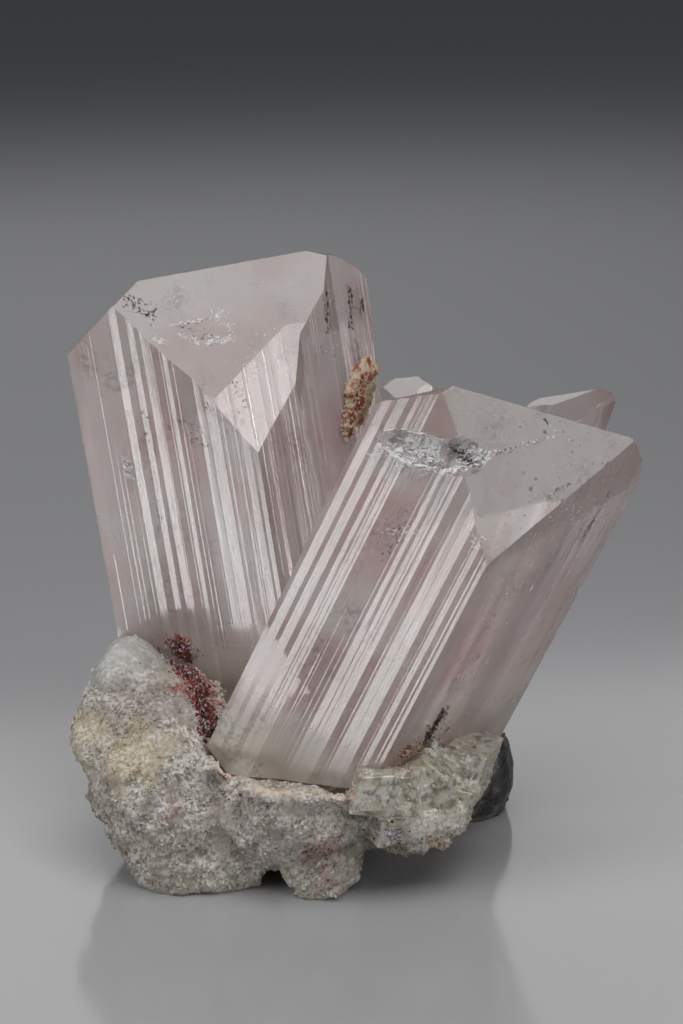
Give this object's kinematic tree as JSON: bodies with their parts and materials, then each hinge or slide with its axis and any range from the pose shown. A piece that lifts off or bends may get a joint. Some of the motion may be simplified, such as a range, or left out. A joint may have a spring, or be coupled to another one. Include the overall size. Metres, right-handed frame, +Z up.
{
  "type": "danburite crystal specimen",
  "caption": "Pale pink, see-through danburite prisms with chisel ends, leaning apart on a lumpy white matrix that the specimen stands on.",
  "frame": {"origin": "on the resting surface, under the middle of the specimen's box", "axes": "+Z up, -Y towards the viewer of the display side, +X to that viewer's right"},
  "size_m": [0.0738, 0.048, 0.0788],
  "materials": {
    "matrix_rock": "white, sugary calcite and quartz, rough and dull, with smooth grey quartz and iron stains in places",
    "danburite": "clear to milky pale pink crystal with glassy faces, fine growth lines along the prism and veils inside",
    "iron_crust": "dull, crumbly tan and rust-red crust"
  },
  "bodies": {
    "root": {"matrix": "matrix_rock", "left_crystal": "danburite", "right_crystal": "danburite", "rear_crystal": "danburite", "small_rear_crystal": "danburite", "iron_crust": "iron_crust"}
  },
  "joints": []
}
